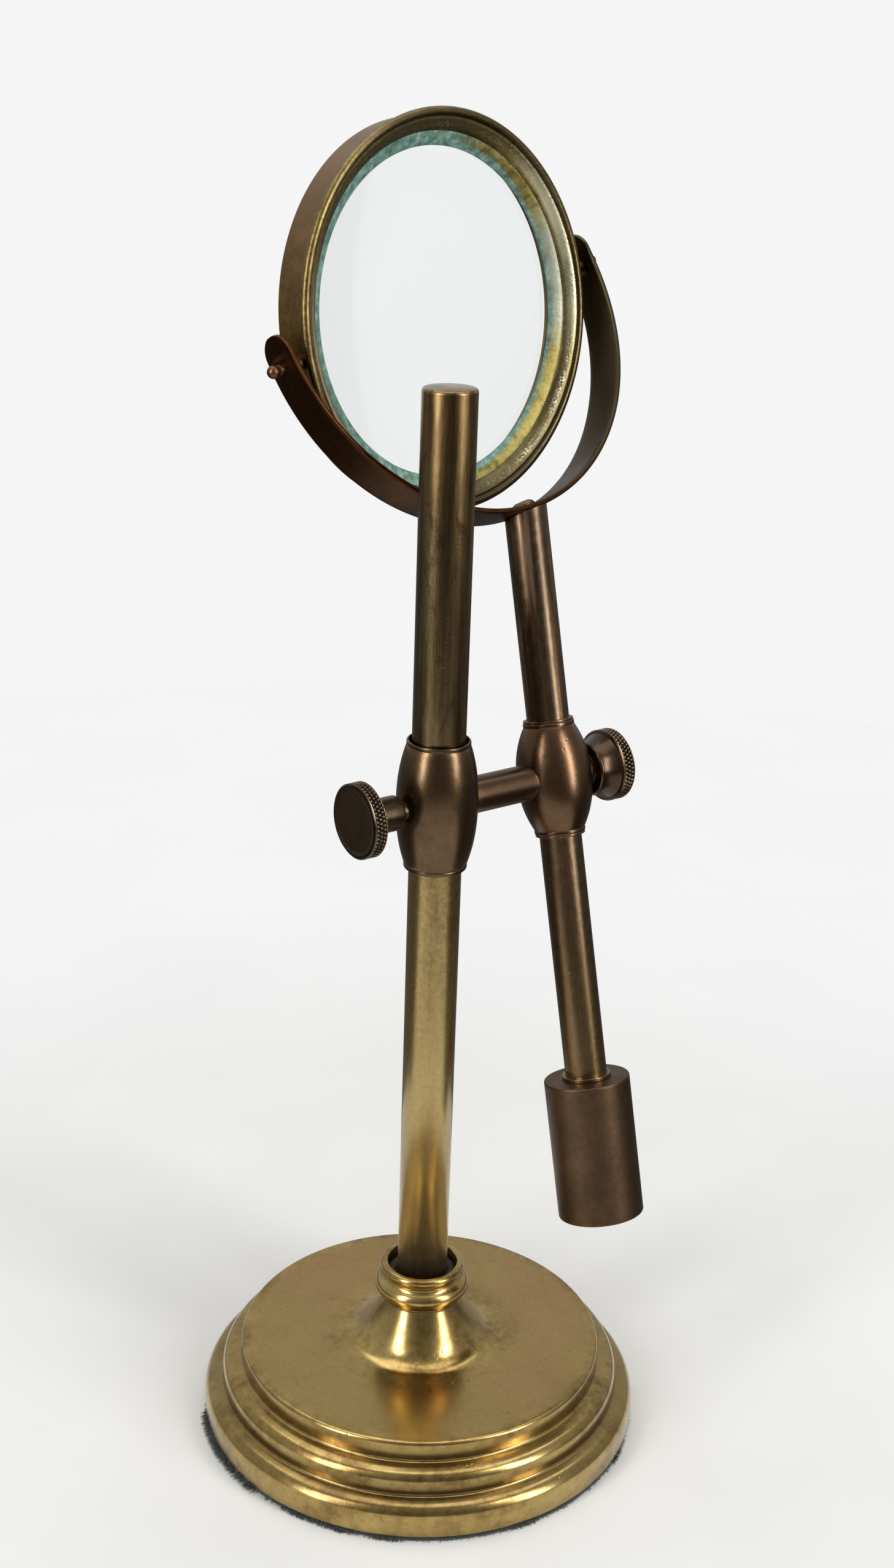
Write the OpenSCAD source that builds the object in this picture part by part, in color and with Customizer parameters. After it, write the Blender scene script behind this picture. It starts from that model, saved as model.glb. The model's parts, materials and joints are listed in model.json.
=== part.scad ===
// Counterbalanced desk magnifier on a weighted round stand.
// The stand's axis is +Z, the felt's underside is at Z = 0 and the link rod runs along +X.

/* [Stand] */
// outside radius of the base at its widest bulge, mm
base_r = 62.5; // [55:0.5:70]
// height of the flat top of the base, mm
base_top_z = 23.65; // [18:0.05:30]
// radius of the upper step's shoulder, mm
step_r = 51.8; // [45:0.1:55]
// radius of the middle bead, mm
bead_r = 57.4; // [52:0.1:60]
// radius where the trumpet flare meets the flat top, mm
flare_r = 22.6; // [18:0.1:28]
// radius of the neck under the collar, mm
neck_r = 10.4; // [9:0.1:13]
// thickness of the felt, mm
felt_t = 1.2; // [0.8:0.1:2.5]

/* [Post] */
// radius of the post, a 9/16 inch rod, mm
post_r = 7.14; // [6:0.01:8]
// height of the top of the post, mm
post_top_z = 299; // [260:1:330]
// height of the seat the post stands on, mm
post_foot_z = 40; // [38:0.5:44]

/* [Clamp] */
// height of the clamp's centre in the rest position, mm
clamp_z = 188.6; // [120:0.1:260]
// half the height of the clamp barrel, mm
clamp_half = 17.9; // [14:0.1:22]
// widest radius of the clamp barrel, mm
clamp_r = 10.95; // [10:0.05:14]
// radius of the clamp barrel's rims, mm
clamp_rim_r = 8.5; // [8.2:0.05:9.5]
// distance from the post's axis to the arm's pivot, mm
link_len = 39.9; // [30:0.1:60]
// radius of the link rod, mm
link_r = 5.0; // [4:0.1:6]
// running clearance between turning parts, mm
run_fit = 0.06; // [0.03:0.01:0.1]

/* [Thumbscrews] */
// radius of the knurled heads, mm
knob_r = 10.1; // [8:0.1:12]
// thickness of the knurled heads, mm
knob_t = 4.2; // [3:0.1:6]
// radius of the thumbscrews' necks, mm
knob_neck_r = 4.7; // [4:0.1:4.9]
// radius of the bell behind the tilt thumbscrew's head, mm
bell_r = 7.6; // [6:0.1:8.5]

/* [Arm] */
// lean of the arm away from upright in the rest position, degrees
arm_tilt = 14.2; // [0:0.1:45]
// outside radius of the arm tubes, mm
tube_r = 5.87; // [5:0.01:7]
// wall of the arm tubes, mm
tube_wall = 1.0; // [0.8:0.1:1.5]
// half the height of the arm hub, mm
hub_half = 15.5; // [12:0.1:20]
// widest radius of the arm hub, mm
hub_r = 10.4; // [9:0.1:13]
// radius of the arm hub's rims, mm
hub_rim_r = 7.05; // [6.5:0.05:8]
// distance from the pivot to the seat of the yoke, mm
seat_t = 72.6; // [50:0.1:90]
// distance from the pivot to the top of the counterweight, mm
weight_t = 86.2; // [70:0.1:110]
// length of the counterweight, mm
weight_len = 40.2; // [30:0.1:60]
// radius of the counterweight, mm
weight_r = 12.1; // [10:0.1:16]

/* [Yoke] */
// radius of the yoke strap at mid thickness, mm
yoke_r = 57.3; // [52:0.1:65]
// thickness of the yoke strap, mm
strap_t = 1.5; // [1:0.1:2.5]
// width of the yoke strap at the bottom, mm
strap_w = 12.7; // [9:0.1:15]
// lean of the yoke behind the arm, degrees
yoke_pitch = -14.6; // [-30:0.1:30]
// lean of the yoke towards the post, degrees
yoke_roll = -8.9; // [-30:0.1:30]
// turn of the yoke about the arm, degrees
yoke_turn = 6.6; // [-30:0.1:30]
// how far off centre the strap is screwed on, degrees
strap_shift = -3.0; // [-8:0.1:8]

/* [Lens] */
// tilt of the lens about the pivot pins in the rest position, degrees
lens_tilt = 22.3; // [-30:0.1:60]
// outside radius of the lens band, mm
ring_r = 51.1; // [45:0.1:55]
// radius of the bezel's rolled lip, mm
lip_r = 52.9; // [52:0.1:55]
// radius of the visible glass, mm
glass_r = 43.2; // [38:0.1:46]
// bulge of each face of the glass, mm
glass_sag = 3.4; // [1:0.1:6]
// half distance between the pivot pins' ball heads, mm
pin_reach = 61.5; // [58:0.1:68]

/* [Hidden] */
$fn = 96;
tube_in = tube_r - tube_wall;
shell_t = 1.8;
collar_z = 36.9;
collar_top_z = 48.3;
collar_bore_r = 9.8;
stud_r = 4;
liner_r = 8.3;
liner_half = 11;
screw_r = 2.5;
spigot_r = 3.0;
tilt_screw_r = 1.75;
recess_x = 3.5;
washer_t = 0.8;
strap_in = yoke_r - strap_t / 2;
strap_out = yoke_r + strap_t / 2;
tongue = 8.6;
boss_h = 1.3;
pin_r = 1.4;
pin_spigot_r = 1.1;
band_front = -2.1;
retainer_front = -1.2;
bezel_in = 46.8;
band_back = 8.1;
band_in = ring_r - 1.3;
glass_front = 2.2;
glass_edge_t = 3.0;
glass_out = ring_r - 1.7;
glass_steps = 12;

// Points on an ellipse from angle a0 to a1 in n steps.
function arc(cx, cz, rx, rz, a0, a1, n) =
    [for (i = [0:n]) let (a = a0 + (a1 - a0) * i / n) [cx + rx * cos(a), cz + rz * sin(a)]];

// Points of a barrel's side between its two rims, from the top down.
function barrel_side(half, r_max, r_rim, n) =
    [for (i = [0:n]) let (z = half - 2 * half * i / n)
        [r_rim + (r_max - r_rim) * (1 - pow(abs(z) / half, 2.3)), z]];

module at_clamp() {
    translate([0, 0, clamp_z]) children();
}

// Along +X with its origin on the post's axis, at the clamp's height.
module along_link() {
    at_clamp() rotate([0, 90, 0]) children();
}

// The arm's own frame: the pivot at the origin and the arm along +Z.
module in_arm() {
    translate([link_len, 0, clamp_z]) rotate([-arm_tilt, 0, 0]) children();
}

// The yoke's own frame: its centre of curvature, with the seat straight below on Z.
module in_yoke() {
    in_arm() translate([0, 0, seat_t]) rotate([yoke_pitch, yoke_roll, yoke_turn])
        translate([0, 0, strap_out]) children();
}

// The pins' own frame, turned in the yoke's plane since the strap is screwed on off centre.
module in_pins() {
    in_yoke() rotate([0, strap_shift, 0]) children();
}

// The lens's own frame: the pivot pins along X and the back of the lens along +Z.
module in_lens() {
    in_pins() rotate([lens_tilt, 0, 0]) rotate([-90, 0, 0]) children();
}

module tube(r_out, r_in, h) {
    difference() {
        cylinder(r = r_out, h = h);
        translate([0, 0, -1]) cylinder(r = r_in, h = h + 2);
    }
}

// ---- stand ----

module base_shell() {
    outer = concat(
        [[stud_r + 0.1, base_top_z]],
        arc(step_r - 1.3, base_top_z - 1.3, 1.3, 1.3, 90, 0, 6),
        [[step_r + 0.1, 20.6], [step_r - 0.1, 19.0], [step_r + 0.3, 18.2],
         [step_r + 1.4, 17.8], [step_r + 3.4, 17.5]],
        arc(bead_r - 2.2, 15.3, 2.2, 2.2, 80, 0, 6),
        [[bead_r + 0.05, 14.0], [bead_r - 0.25, 12.2], [bead_r - 0.1, 11.3],
         [bead_r + 0.6, 10.8], [bead_r + 2.3, 10.5]],
        arc(base_r - 2.8, 7.0, 2.8, 3.5, 85, 0, 6),
        arc(base_r - 3.0, 5.0, 3.0, 3.75, -10, -75, 5),
        [[base_r - 3.2, felt_t]]);
    inner = [[base_r - 5, felt_t], [base_r - 5, 8.6], [bead_r - 5.2, 10.6], [bead_r - 5.2, 15.4],
             [step_r - 3, 17.6], [step_r - 3, base_top_z - shell_t],
             [stud_r + 0.1, base_top_z - shell_t]];
    color("#8f7640") rotate_extrude() polygon(concat(outer, inner));
}

module base_flare() {
    steps = 16;
    side = [for (i = [0:steps]) let (u = i / steps)
        [neck_r + (flare_r - neck_r) * u,
         base_top_z + (collar_z - base_top_z) * pow(1 - u, 2.15)]];
    profile = concat(
        [[stud_r + 0.1, base_top_z], [stud_r + 0.1, post_foot_z], [neck_r, post_foot_z]], side);
    color("#8f7640") rotate_extrude() polygon(profile);
}

module base_collar() {
    profile = concat(
        [[neck_r, collar_z], [11.2, collar_z]],
        arc(10.6, 40.6, 2.85, 3.0, -60, 62, 12),
        [[11.5, 44.2], [11.5, 44.8]],
        arc(11.0, 46.4, 1.0, 1.3, -50, 90, 6),
        [[10.6, collar_top_z], [10.0, collar_top_z - 0.2], [collar_bore_r, collar_top_z - 0.8],
         [collar_bore_r, post_foot_z], [neck_r, post_foot_z]]);
    color("#9a8147") rotate_extrude() polygon(profile);
}

module base_ballast() {
    color("#3c3a38") difference() {
        translate([0, 0, 6.5]) cylinder(r = 47, h = base_top_z - shell_t - 6.5);
        translate([0, 0, 5]) cylinder(r = stud_r + 0.2, h = 30);
        translate([0, 0, 5]) cylinder(r = 16, h = 6);
    }
}

module base_plate() {
    color("#5c5a56") translate([0, 0, felt_t]) cylinder(r = base_r - 5.1, h = 0.8);
}

module base_felt() {
    color("#16281f") cylinder(r = base_r - 1.4, h = felt_t);
}

module base_washer() {
    color("#77736b") translate([0, 0, 9.8]) tube(12, stud_r + 0.2, 1.2);
}

module base_nut() {
    color("#77736b") difference() {
        translate([0, 0, 3.3]) cylinder(r = 7.5, h = 6.5, $fn = 6);
        translate([0, 0, 3]) cylinder(r = stud_r, h = 8);
    }
}

module post_stud() {
    color("#77736b") translate([0, 0, 2.9]) cylinder(r = stud_r, h = 53);
}

module post_packing() {
    color("#1d1f1a") translate([0, 0, post_foot_z]) tube(collar_bore_r, post_r, 5.6);
}

module post() {
    profile = concat(
        [[0, post_foot_z], [post_r, post_foot_z]],
        arc(post_r - 0.9, post_top_z - 1.3, 0.9, 0.9, 0, 80, 5),
        [[post_r * 0.5, post_top_z - 0.1], [0, post_top_z]]);
    color("#83703f") difference() {
        rotate_extrude() polygon(profile);
        translate([0, 0, post_foot_z - 1]) cylinder(r = stud_r, h = 18);
    }
}

// ---- clamp on the post ----

module clamp_liner() {
    color("#7a6a3e") at_clamp() difference() {
        translate([0, 0, -liner_half]) tube(liner_r, post_r + run_fit, 2 * liner_half);
        translate([0, 5, 0]) cube([1.2, 10, 40], center = true);
    }
}

module clamp_barrel() {
    mouth_r = post_r + 0.9;
    side = barrel_side(clamp_half - 1, clamp_r, clamp_rim_r, 18);
    profile = concat(
        [[mouth_r, clamp_half], [clamp_rim_r - 0.1, clamp_half], [clamp_rim_r, clamp_half - 0.2]],
        side,
        [[clamp_rim_r, -clamp_half + 0.2], [clamp_rim_r - 0.1, -clamp_half],
         [mouth_r, -clamp_half], [post_r + 0.5, -clamp_half + 2.5],
         [post_r + 0.5, -liner_half - 0.1], [liner_r + run_fit, -liner_half - 0.1],
         [liner_r + run_fit, liner_half + 0.1], [post_r + 0.5, liner_half + 0.1],
         [post_r + 0.5, clamp_half - 2.5]]);
    color("#4a3a2a") difference() {
        at_clamp() rotate_extrude() polygon(profile);
        along_link() translate([0, 0, 8.9]) cylinder(r = link_r, h = 8);
        along_link() translate([0, 0, -16]) cylinder(r = screw_r + 0.05, h = 10);
    }
}

module link_rod() {
    color("#4a3a2a") along_link() difference() {
        union() {
            translate([0, 0, 8.9]) cylinder(r = link_r, h = link_len - 8.9 - recess_x - 0.05);
            translate([0, 0, 20]) cylinder(r = spigot_r, h = link_len - 20 + 4.0);
        }
        translate([0, 0, link_len - 4.5]) cylinder(r = tilt_screw_r + 0.05, h = 10);
    }
}

// A thumbscrew head standing on z = 0 and facing +Z.
module thumb_head() {
    profile = [[0, 0], [knob_r - 0.5, 0], [knob_r, 0.5], [knob_r, knob_t - 0.5],
               [knob_r - 0.5, knob_t], [knob_r - 1.4, knob_t], [0, knob_t - 0.25]];
    rotate_extrude() polygon(profile);
}

module post_thumbscrew() {
    neck = concat(
        [[0, -12.8], [knob_neck_r - 0.9, -12.8]],
        arc(knob_neck_r - 0.9, -13.7, 0.9, 0.9, 90, 0, 5),
        arc(knob_neck_r + 1.6, -21.0, 1.6, 1.4, 180, 270, 5),
        [[0, -22.4]]);
    color("#4c3c2a") {
        along_link() union() {
            rotate_extrude() polygon(neck);
            translate([0, 0, -22.3]) rotate([180, 0, 0]) thumb_head();
            translate([0, 0, -14]) cylinder(r = screw_r, h = 14 - liner_r - 0.12);
        }
    }
}

module tilt_thumbscrew() {
    neck_z = recess_x + washer_t + 0.05;
    neck = concat(
        [[0, neck_z], [knob_neck_r - 0.3, neck_z], [knob_neck_r, neck_z + 0.3],
         [knob_neck_r, 10.9], [bell_r - 0.4, 10.9], [bell_r, 11.3]],
        [for (i = [1:7]) [bell_r + 1.7 * pow(i / 7, 1.8), 11.3 + 5.6 * i / 7]],
        [[0, 17.1]]);
    color("#4c3c2a") along_link() translate([0, 0, link_len]) union() {
        rotate_extrude() polygon(neck);
        translate([0, 0, 17]) thumb_head();
        translate([0, 0, -2.8]) cylinder(r = tilt_screw_r, h = 10);
    }
}

// ---- arm ----

module arm_hub() {
    profile = concat(
        [[0, hub_half], [hub_rim_r, hub_half]],
        barrel_side(hub_half - 0.8, hub_r, hub_rim_r, 18),
        [[hub_rim_r, -hub_half], [0, -hub_half]]);
    color("#43332a") in_arm() difference() {
        rotate_extrude() polygon(profile);
        translate([0, 0, 9]) cylinder(r = tube_r, h = 10);
        translate([0, 0, -19]) cylinder(r = tube_r, h = 10);
        rotate([0, 90, 0]) {
            translate([0, 0, -15]) cylinder(r = spigot_r + run_fit, h = 30);
            translate([0, 0, -15]) cylinder(r = link_r + run_fit, h = 15 - recess_x);
            translate([0, 0, recess_x]) cylinder(r = link_r + run_fit, h = 15);
        }
    }
}

module hub_rings() {
    color("#b08a4a") in_arm() {
        translate([0, 0, hub_half]) tube(hub_rim_r - 0.15, tube_r, 0.7);
        translate([0, 0, -hub_half - 0.7]) tube(hub_rim_r - 0.15, tube_r, 0.7);
    }
}

module tilt_washer() {
    color("#8a8478") in_arm() rotate([0, 90, 0])
        translate([0, 0, recess_x]) tube(link_r - 0.1, spigot_r + run_fit, washer_t);
}

// Everything outside the strap's back, where the tube's end is cut to fit it.
module strap_saddle() {
    in_yoke() rotate([90, 0, 0]) translate([0, 0, -20]) cylinder(r = strap_out, h = 40);
}

module arm_upper_tube() {
    color("#57402a") difference() {
        in_arm() translate([0, 0, 9]) tube(tube_r, tube_in, seat_t - 9 + 3);
        strap_saddle();
    }
}

module arm_lower_tube() {
    color("#57402a") in_arm() translate([0, 0, -weight_t]) tube(tube_r, tube_in, weight_t - 9);
}

module weight_ring() {
    color("#8a6f42") in_arm() translate([0, 0, -weight_t]) tube(tube_r + 1.1, tube_r, 1.1);
}

module weight_stud() {
    color("#6d6045") in_arm() translate([0, 0, -weight_t]) {
        cylinder(r = tube_in, h = 10);
        translate([0, 0, -14]) cylinder(r = 3, h = 15);
    }
}

module counterweight() {
    profile = [[0, 0], [weight_r - 0.6, 0], [weight_r, -0.6], [weight_r, 0.6 - weight_len],
               [weight_r - 0.6, -weight_len], [0, -weight_len]];
    color("#40322a") in_arm() translate([0, 0, -weight_t]) difference() {
        rotate_extrude() polygon(profile);
        translate([0, 0, -15]) cylinder(r = 3, h = 16);
    }
}

// ---- yoke ----

module yoke_plug() {
    color("#6d6045") difference() {
        in_arm() translate([0, 0, seat_t - 12]) cylinder(r = tube_in, h = 15);
        strap_saddle();
        in_yoke() translate([0, 0, -strap_out - 8]) cylinder(r = 1.9, h = 12);
    }
}

module yoke_screw() {
    head = concat([[0, 0], [3.4, 0]], arc(0, 0.3, 3.4, 1.4, 0, 90, 6));
    color("#5a4a35") in_yoke() translate([0, 0, 0.11 - strap_in]) union() {
        rotate_extrude() polygon(head);
        translate([0, 0, -9]) cylinder(r = 1.9, h = 9.5);
    }
}

// One end of the strap above the pin, with its rounded tip and pressed boss.
module strap_end(side) {
    tip_r = strap_w / 2;
    translate([side * yoke_r, 0, 0]) rotate([0, side * 90, 0]) {
        translate([0, 0, -strap_t / 2]) linear_extrude(height = strap_t) difference() {
            union() {
                translate([-side * (tongue - tip_r) / 2, 0])
                    square([tongue - tip_r, strap_w], center = true);
                translate([-side * (tongue - tip_r), 0]) circle(r = tip_r);
            }
            translate([side * 20, 0]) square([40, 40], center = true);
        }
        rotate_extrude() polygon([[0, 0], [3.9, 0], [2.3, strap_t / 2 + boss_h],
                                  [0, strap_t / 2 + boss_h]]);
    }
}

module yoke_strap() {
    color("#33261d") difference() {
        in_pins() union() {
            rotate([90, 0, 0]) rotate([0, 0, 180]) rotate_extrude(angle = 180)
                translate([yoke_r, 0]) square([strap_t, strap_w], center = true);
            strap_end(1);
            strap_end(-1);
        }
        in_pins() rotate([0, 90, 0]) translate([0, 0, -70])
            cylinder(r = pin_r + run_fit, h = 140);
        in_yoke() translate([0, 0, -strap_out - 1]) cylinder(r = 2.0, h = 5);
    }
}

// ---- lens ----

module lens_band() {
    profile = [[band_in, band_front], [ring_r, band_front], [ring_r, band_back - 0.4],
               [ring_r - 0.4, band_back], [glass_out - 3.8, band_back],
               [glass_out - 3.8, band_back - 2], [band_in, band_back - 2]];
    color("#6a5530") in_lens() difference() {
        rotate_extrude($fn = 144) polygon(profile);
        rotate([0, 90, 0]) translate([0, 0, -60]) cylinder(r = pin_r, h = 120);
    }
}

// A sloping face inside a thin groove and a rolled lip, which stands proud of the band.
module lens_bezel() {
    profile = concat(
        [[bezel_in, retainer_front], [47.4, -1.9], [48.6, -2.9], [49.5, -3.55], [50.1, -3.85],
         [50.45, -3.8]],
        arc(lip_r - 1.3, -3.2, 1.3, 1.3, 225, 360, 9),
        [[lip_r - 0.2, -2.5], [lip_r - 0.8, band_front], [band_in, band_front],
         [band_in, retainer_front]]);
    color("#a98d4e") in_lens() rotate_extrude($fn = 144) polygon(profile);
}

// Depth of the glass's curved face behind its rim at radius r.
function glass_bulge(r) = glass_sag * (1 - pow(r / glass_out, 2));

// The ring's back follows the face of the glass, which rests on it.
module lens_retainer() {
    seat_r = glass_out * (1 - 1 / glass_steps);
    seat_z = glass_front - glass_bulge(glass_r);
    profile = [[band_in, retainer_front], [bezel_in, retainer_front], [glass_r, seat_z - 0.6],
               [glass_r, seat_z], [seat_r, glass_front - glass_bulge(seat_r)],
               [glass_out, glass_front], [band_in, glass_front]];
    color("#62897b") in_lens() difference() {
        rotate_extrude($fn = 144) polygon(profile);
        for (side = [-1, 1])
            rotate([0, side * 90, 0]) translate([0, 0, band_in - 2]) cylinder(r = pin_spigot_r, h = 10);
    }
}

module lens_glass() {
    radii = [for (i = [0:glass_steps]) glass_out * i / glass_steps];
    front = [for (r = radii) [r, glass_front - glass_bulge(r)]];
    back = [for (i = [glass_steps:-1:0])
        [radii[i], glass_front + glass_edge_t + glass_bulge(radii[i])]];
    color([0.85, 0.92, 0.95, 0.4]) in_lens()
        rotate_extrude($fn = 144) polygon(concat(front, back));
}

module pivot_pins() {
    color("#7a4f38") in_lens() for (side = [-1, 1]) rotate([0, side * 90, 0]) union() {
        translate([0, 0, band_in - 2]) cylinder(r = pin_spigot_r, h = 3);
        translate([0, 0, band_in]) cylinder(r = pin_r, h = pin_reach - band_in);
        translate([0, 0, ring_r]) cylinder(r = 2.0, h = strap_in - ring_r - 0.3);
        translate([0, 0, pin_reach]) rotate_extrude() polygon(concat([[0, -1.75]],
            arc(0, 0, 1.75, 1.75, -70, 90, 12)));
    }
}

base_shell();
base_flare();
base_collar();
base_ballast();
base_plate();
base_felt();
base_washer();
base_nut();
post_stud();
post_packing();
post();
clamp_liner();
clamp_barrel();
link_rod();
post_thumbscrew();
tilt_thumbscrew();
arm_hub();
hub_rings();
tilt_washer();
arm_upper_tube();
arm_lower_tube();
weight_ring();
weight_stud();
counterweight();
yoke_plug();
yoke_screw();
yoke_strap();
lens_band();
lens_bezel();
lens_retainer();
lens_glass();
pivot_pins();
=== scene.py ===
"""Looks of the counterbalanced desk magnifier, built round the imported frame."""

import json
import math
import random

import bmesh
import bpy
import numpy as np
from mathutils import Matrix, Vector


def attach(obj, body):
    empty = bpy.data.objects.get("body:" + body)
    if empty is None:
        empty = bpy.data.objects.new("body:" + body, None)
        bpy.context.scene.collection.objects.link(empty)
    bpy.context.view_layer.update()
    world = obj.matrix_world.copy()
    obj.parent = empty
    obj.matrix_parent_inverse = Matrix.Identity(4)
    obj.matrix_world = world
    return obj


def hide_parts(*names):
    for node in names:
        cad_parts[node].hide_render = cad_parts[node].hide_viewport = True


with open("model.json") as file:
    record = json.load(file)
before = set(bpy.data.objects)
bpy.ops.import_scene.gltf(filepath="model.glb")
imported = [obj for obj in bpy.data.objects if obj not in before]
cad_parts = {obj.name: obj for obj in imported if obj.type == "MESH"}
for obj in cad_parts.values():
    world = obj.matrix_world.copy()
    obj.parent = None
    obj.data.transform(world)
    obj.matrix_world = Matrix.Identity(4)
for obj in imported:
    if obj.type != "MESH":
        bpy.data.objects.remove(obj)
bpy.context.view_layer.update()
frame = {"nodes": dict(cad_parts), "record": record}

# ---------------------------------------------------------------- sizes, in mm, as in the CAD
MM = 0.001
BASE_R, BASE_TOP, STEP_R, BEAD_R = 62.5, 23.65, 51.8, 57.4
FLARE_R, NECK_R, FELT_T = 22.6, 10.4, 1.2
COLLAR_Z, COLLAR_TOP, COLLAR_BORE = 36.9, 48.3, 9.8
POST_R, POST_TOP, POST_FOOT = 7.14, 299.0, 40.0
CLAMP_Z, CLAMP_HALF, CLAMP_R, CLAMP_RIM = 188.6, 17.9, 10.95, 8.5
LINK_LEN, LINK_R, RECESS, WASHER_T = 39.9, 5.0, 3.5, 0.8
KNOB_R, KNOB_T, KNOB_NECK, BELL_R = 10.1, 4.2, 4.7, 7.6
ARM_TILT, TUBE_R, TUBE_IN = 14.2, 5.87, 4.87
HUB_HALF, HUB_R, HUB_RIM = 15.5, 10.4, 7.05
SEAT, WEIGHT_T, WEIGHT_LEN, WEIGHT_R = 72.6, 86.2, 40.2, 12.1
YOKE_R, STRAP_T, STRAP_W, TONGUE = 57.3, 1.5, 12.7, 8.6
YOKE_PITCH, YOKE_ROLL, YOKE_TURN, STRAP_SHIFT, LENS_TILT = -14.6, -8.9, 6.6, -3.0, 22.3
RING_R, LIP_R, GLASS_R, GLASS_SAG, PIN_REACH, PIN_R = 51.1, 52.9, 43.2, 3.4, 61.5, 1.4
BAND_FRONT, BAND_BACK, RETAINER_FRONT, BEZEL_IN = -2.1, 8.1, -1.2, 46.8
GLASS_FRONT, GLASS_EDGE = 2.2, 3.0
BAND_IN, GLASS_OUT = RING_R - 1.3, RING_R - 1.7
STRAP_OUT, STRAP_IN = YOKE_R + STRAP_T / 2, YOKE_R - STRAP_T / 2


def turn(axis, degrees):
    return Matrix.Rotation(math.radians(degrees), 4, axis)


def shift(x, y, z):
    return Matrix.Translation((x, y, z))


WORLD = Matrix.Identity(4)
CLAMP = shift(0, 0, CLAMP_Z)
LINK = CLAMP @ turn("Y", 90)
ARM = shift(LINK_LEN, 0, CLAMP_Z) @ turn("X", -ARM_TILT)
YOKE = (ARM @ shift(0, 0, SEAT) @ turn("Z", YOKE_TURN) @ turn("Y", YOKE_ROLL)
        @ turn("X", YOKE_PITCH) @ shift(0, 0, STRAP_OUT))
PINS = YOKE @ turn("Y", STRAP_SHIFT)
LENS = PINS @ turn("X", LENS_TILT) @ turn("X", -90)


# ---------------------------------------------------------------- profiles
def arc(cx, cz, rx, rz, a0, a1, n=10):
    steps = [math.radians(a0 + (a1 - a0) * i / n) for i in range(n + 1)]
    return [(cx + rx * math.cos(a), cz + rz * math.sin(a)) for a in steps]


def fillet(points, radius=0.25, n=4, sharpest=24.0, closed=False):
    """Rounds each corner of a profile that turns by more than sharpest degrees."""
    pts = [np.array(p, float) for p in points]
    out = []
    count = len(pts)
    for i, p in enumerate(pts):
        if not closed and i in (0, count - 1):
            out.append(tuple(p))
            continue
        a, b = pts[i - 1], pts[(i + 1) % count]
        u, v = a - p, b - p
        lu, lv = np.linalg.norm(u), np.linalg.norm(v)
        if lu < 1e-6 or lv < 1e-6:
            continue
        u, v = u / lu, v / lv
        bend = 180 - math.degrees(math.acos(np.clip(u @ v, -1, 1)))
        if bend < sharpest:
            out.append(tuple(p))
            continue
        t = min(radius, lu * 0.45, lv * 0.45)
        s, e = p + u * t, p + v * t
        if lu > 6 * t:
            out.append(tuple(s + u * t * 0.8))
        for k in range(n + 1):
            w = k / n
            out.append(tuple((1 - w) ** 2 * s + 2 * w * (1 - w) * p + w * w * e))
        if lv > 6 * t:
            out.append(tuple(e + v * t * 0.8))
    return out


def smooth_curve(points, n=6):
    """A soft curve that follows the points and rounds them off (a cubic B-spline)."""
    pts = [np.array(p, float) for p in [points[0]] * 2 + list(points) + [points[-1]] * 2]
    out = []
    for a, b, c, d in zip(pts, pts[1:], pts[2:], pts[3:]):
        for k in range(n):
            t = k / n
            out.append(tuple(((1 - t) ** 3 * a + (3 * t ** 3 - 6 * t ** 2 + 4) * b
                              + (1 + 3 * t + 3 * t ** 2 - 3 * t ** 3) * c + t ** 3 * d) / 6))
    return out + [tuple(pts[-1])]


def barrel_side(half, r_max, r_rim, n=26):
    zs = [half - 2 * half * i / n for i in range(n + 1)]
    return [(r_rim + (r_max - r_rim) * (1 - (abs(z) / half) ** 2.3), z) for z in zs]


# ---------------------------------------------------------------- meshes
def make_object(name, verts, faces, place, material):
    mesh = bpy.data.meshes.new(name)
    co = np.asarray(verts, float)
    m = np.array(place)
    co = (co @ m[:3, :3].T + m[:3, 3]) * MM
    mesh.from_pydata(co.tolist(), [], faces)
    mesh.validate()
    mesh.update()
    mesh.polygons.foreach_set("use_smooth", [True] * len(mesh.polygons))
    obj = bpy.data.objects.new(name, mesh)
    bpy.context.scene.collection.objects.link(obj)
    mesh.materials.append(material)
    return obj


def lathe_arrays(profile, segs=128, closed=False, warp=None):
    """Vertices and faces of a profile of (radius, height) turned about Z."""
    verts, rows = [], []
    theta = np.arange(segs) * 2 * math.pi / segs
    for r, z in profile:
        if r < 1e-6:
            rows.append([len(verts)])
            verts.append((0.0, 0.0, z))
            continue
        rr, zz = np.full(segs, float(r)), np.full(segs, float(z))
        if warp:
            rr, zz = warp(theta, rr, zz)
        rows.append(list(range(len(verts), len(verts) + segs)))
        verts.extend(zip(rr * np.cos(theta), rr * np.sin(theta), zz))
    faces = []
    pairs = list(zip(rows, rows[1:])) + ([(rows[-1], rows[0])] if closed else [])
    for a, b in pairs:
        for i in range(segs):
            j = (i + 1) % segs
            if len(a) == 1 and len(b) == 1:
                continue
            if len(a) == 1:
                faces.append((a[0], b[j], b[i]))
            elif len(b) == 1:
                faces.append((a[i], a[j], b[0]))
            else:
                faces.append((a[i], a[j], b[j], b[i]))
    return verts, faces


def fix_normals(obj):
    bm = bmesh.new()
    bm.from_mesh(obj.data)
    bmesh.ops.recalc_face_normals(bm, faces=bm.faces)
    bm.to_mesh(obj.data)
    bm.free()


def sharpen(obj, degrees=38):
    """Keeps corners crisp: edges sharper than this are marked, the rest stay smooth."""
    bm = bmesh.new()
    bm.from_mesh(obj.data)
    limit = math.radians(degrees)
    for e in bm.edges:
        e.smooth = len(e.link_faces) != 2 or e.calc_face_angle(0) < limit
    bm.to_mesh(obj.data)
    bm.free()


def lathe(name, profile, material, place=WORLD, segs=128, closed=False, warp=None):
    verts, faces = lathe_arrays(profile, segs, closed, warp)
    obj = make_object(name, verts, faces, place, material)
    fix_normals(obj)
    return obj


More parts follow.
